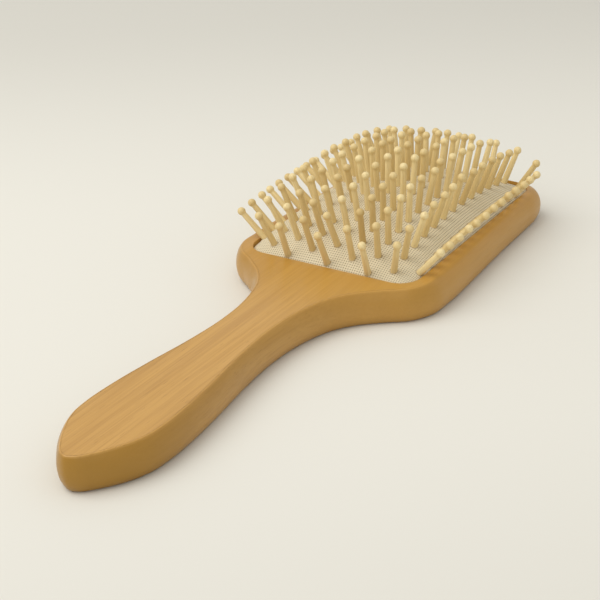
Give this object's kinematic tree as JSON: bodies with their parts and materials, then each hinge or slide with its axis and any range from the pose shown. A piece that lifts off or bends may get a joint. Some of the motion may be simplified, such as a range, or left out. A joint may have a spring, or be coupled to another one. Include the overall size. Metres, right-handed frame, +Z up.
{
  "type": "hairbrush",
  "caption": "Paddle hairbrush: a one-piece wooden board and handle, an air cushion set in its face, and turned wooden pins with ball tips that tilt and sink with the cushion",
  "frame": {"origin": "centre of the bounding box in plan, on the flat back that rests on the table", "axes": "+X from the handle's tip to the end of the head, +Y across the brush to the left seen from the handle, +Z up through the pins"},
  "size_m": [0.245, 0.0882, 0.0396],
  "materials": {
    "lacquered_wood": "satin lacquer over straight grain",
    "cushion_fabric": "fine open weave on rubber, matt",
    "pin_wood": "bare turned wood, smooth"
  },
  "bodies": {
    "board": {"wood_body": "lacquered_wood"},
    "cushion_pad": {"cushion": "cushion_fabric"},
    "right_pins_3_front": {"right_pins_3_front": "pin_wood"},
    "right_pins_3_back": {"right_pins_3_back": "pin_wood"},
    "right_pins_2_front": {"right_pins_2_front": "pin_wood"},
    "right_pins_2_back": {"right_pins_2_back": "pin_wood"},
    "right_pins_1_front": {"right_pins_1_front": "pin_wood"},
    "right_pins_1_back": {"right_pins_1_back": "pin_wood"},
    "middle_pins_front": {"middle_pins_front": "pin_wood"},
    "middle_pins_back": {"middle_pins_back": "pin_wood"},
    "left_pins_1_front": {"left_pins_1_front": "pin_wood"},
    "left_pins_1_back": {"left_pins_1_back": "pin_wood"},
    "left_pins_2_front": {"left_pins_2_front": "pin_wood"},
    "left_pins_2_back": {"left_pins_2_back": "pin_wood"},
    "left_pins_3_front": {"left_pins_3_front": "pin_wood"},
    "left_pins_3_back": {"left_pins_3_back": "pin_wood"},
    "left_edge_pins_front": {"left_edge_pins_front": "pin_wood"},
    "left_edge_pins_back": {"left_edge_pins_back": "pin_wood"},
    "right_edge_pins_front": {"right_edge_pins_front": "pin_wood"},
    "right_edge_pins_back": {"right_edge_pins_back": "pin_wood"},
    "nose_pins": {"nose_pins": "pin_wood"},
    "tail_pins": {"tail_pins": "pin_wood"}
  },
  "joints": [
    {"name": "cushion_press", "type": "slide", "parent": "board", "child": "cushion_pad", "axis": [0, 0, -1], "range_m": [0, 0.004], "stiffness_N_per_m": 1500, "springref_m": -0.001, "deforming": ["cushion"]},
    {"name": "right_pins_3_front_tilt", "type": "hinge", "parent": "cushion_pad", "child": "right_pins_3_front", "pos_m": [0.04697, -0.0252, 0.01791], "axis": [1, 0, 0], "range_deg": [-10, 10], "stiffness_Nm_per_rad": 0.02, "deforming": ["cushion"]},
    {"name": "right_pins_3_back_tilt", "type": "hinge", "parent": "cushion_pad", "child": "right_pins_3_back", "pos_m": [0.0875, -0.0252, 0.01788], "axis": [1, 0, 0], "range_deg": [-10, 10], "stiffness_Nm_per_rad": 0.02, "deforming": ["cushion"]},
    {"name": "right_pins_2_front_tilt", "type": "hinge", "parent": "cushion_pad", "child": "right_pins_2_front", "pos_m": [0.04328, -0.0168, 0.01942], "axis": [1, 0, 0], "range_deg": [-10, 10], "stiffness_Nm_per_rad": 0.02, "deforming": ["cushion"]},
    {"name": "right_pins_2_back_tilt", "type": "hinge", "parent": "cushion_pad", "child": "right_pins_2_back", "pos_m": [0.0875, -0.0168, 0.01974], "axis": [1, 0, 0], "range_deg": [-10, 10], "stiffness_Nm_per_rad": 0.02, "deforming": ["cushion"]},
    {"name": "right_pins_1_front_tilt", "type": "hinge", "parent": "cushion_pad", "child": "right_pins_1_front", "pos_m": [0.04697, -0.0084, 0.02102], "axis": [1, 0, 0], "range_deg": [-10, 10], "stiffness_Nm_per_rad": 0.02, "deforming": ["cushion"]},
    {"name": "right_pins_1_back_tilt", "type": "hinge", "parent": "cushion_pad", "child": "right_pins_1_back", "pos_m": [0.0875, -0.0084, 0.02098], "axis": [1, 0, 0], "range_deg": [-10, 10], "stiffness_Nm_per_rad": 0.02, "deforming": ["cushion"]},
    {"name": "middle_pins_front_tilt", "type": "hinge", "parent": "cushion_pad", "child": "middle_pins_front", "pos_m": [0.04328, 0, 0.02071], "axis": [1, 0, 0], "range_deg": [-10, 10], "stiffness_Nm_per_rad": 0.02, "deforming": ["cushion"]},
    {"name": "middle_pins_back_tilt", "type": "hinge", "parent": "cushion_pad", "child": "middle_pins_back", "pos_m": [0.0875, 0, 0.02107], "axis": [1, 0, 0], "range_deg": [-10, 10], "stiffness_Nm_per_rad": 0.02, "deforming": ["cushion"]},
    {"name": "left_pins_1_front_tilt", "type": "hinge", "parent": "cushion_pad", "child": "left_pins_1_front", "pos_m": [0.04697, 0.0084, 0.02102], "axis": [1, 0, 0], "range_deg": [-10, 10], "stiffness_Nm_per_rad": 0.02, "deforming": ["cushion"]},
    {"name": "left_pins_1_back_tilt", "type": "hinge", "parent": "cushion_pad", "child": "left_pins_1_back", "pos_m": [0.0875, 0.0084, 0.02098], "axis": [1, 0, 0], "range_deg": [-10, 10], "stiffness_Nm_per_rad": 0.02, "deforming": ["cushion"]},
    {"name": "left_pins_2_front_tilt", "type": "hinge", "parent": "cushion_pad", "child": "left_pins_2_front", "pos_m": [0.04328, 0.0168, 0.01942], "axis": [1, 0, 0], "range_deg": [-10, 10], "stiffness_Nm_per_rad": 0.02, "deforming": ["cushion"]},
    {"name": "left_pins_2_back_tilt", "type": "hinge", "parent": "cushion_pad", "child": "left_pins_2_back", "pos_m": [0.0875, 0.0168, 0.01974], "axis": [1, 0, 0], "range_deg": [-10, 10], "stiffness_Nm_per_rad": 0.02, "deforming": ["cushion"]},
    {"name": "left_pins_3_front_tilt", "type": "hinge", "parent": "cushion_pad", "child": "left_pins_3_front", "pos_m": [0.04697, 0.0252, 0.01791], "axis": [1, 0, 0], "range_deg": [-10, 10], "stiffness_Nm_per_rad": 0.02, "deforming": ["cushion"]},
    {"name": "left_pins_3_back_tilt", "type": "hinge", "parent": "cushion_pad", "child": "left_pins_3_back", "pos_m": [0.0875, 0.0252, 0.01788], "axis": [1, 0, 0], "range_deg": [-10, 10], "stiffness_Nm_per_rad": 0.02, "deforming": ["cushion"]},
    {"name": "left_edge_pins_front_tilt", "type": "hinge", "parent": "board", "child": "left_edge_pins_front", "pos_m": [0.04509, 0.0328, 0.01371], "axis": [1, 0, 0], "range_deg": [-8, 8], "stiffness_Nm_per_rad": 0.02, "deforming": ["cushion"]},
    {"name": "left_edge_pins_back_tilt", "type": "hinge", "parent": "board", "child": "left_edge_pins_back", "pos_m": [0.0899, 0.03259, 0.01365], "axis": [1, 0, 0], "range_deg": [-8, 8], "stiffness_Nm_per_rad": 0.02, "deforming": ["cushion"]},
    {"name": "right_edge_pins_front_tilt", "type": "hinge", "parent": "board", "child": "right_edge_pins_front", "pos_m": [0.04509, -0.0328, 0.01371], "axis": [1, 0, 0], "range_deg": [-8, 8], "stiffness_Nm_per_rad": 0.02, "deforming": ["cushion"]},
    {"name": "right_edge_pins_back_tilt", "type": "hinge", "parent": "board", "child": "right_edge_pins_back", "pos_m": [0.0899, -0.03259, 0.01365], "axis": [1, 0, 0], "range_deg": [-8, 8], "stiffness_Nm_per_rad": 0.02, "deforming": ["cushion"]},
    {"name": "nose_pins_tilt", "type": "hinge", "parent": "board", "child": "nose_pins", "pos_m": [0.01959, 0, 0.01323], "axis": [0, 1, 0], "range_deg": [-8, 8], "stiffness_Nm_per_rad": 0.02, "deforming": ["cushion"]},
    {"name": "tail_pins_tilt", "type": "hinge", "parent": "board", "child": "tail_pins", "pos_m": [0.11119, 0, 0.01423], "axis": [0, 1, 0], "range_deg": [-8, 8], "stiffness_Nm_per_rad": 0.02, "deforming": ["cushion"]}
  ]
}
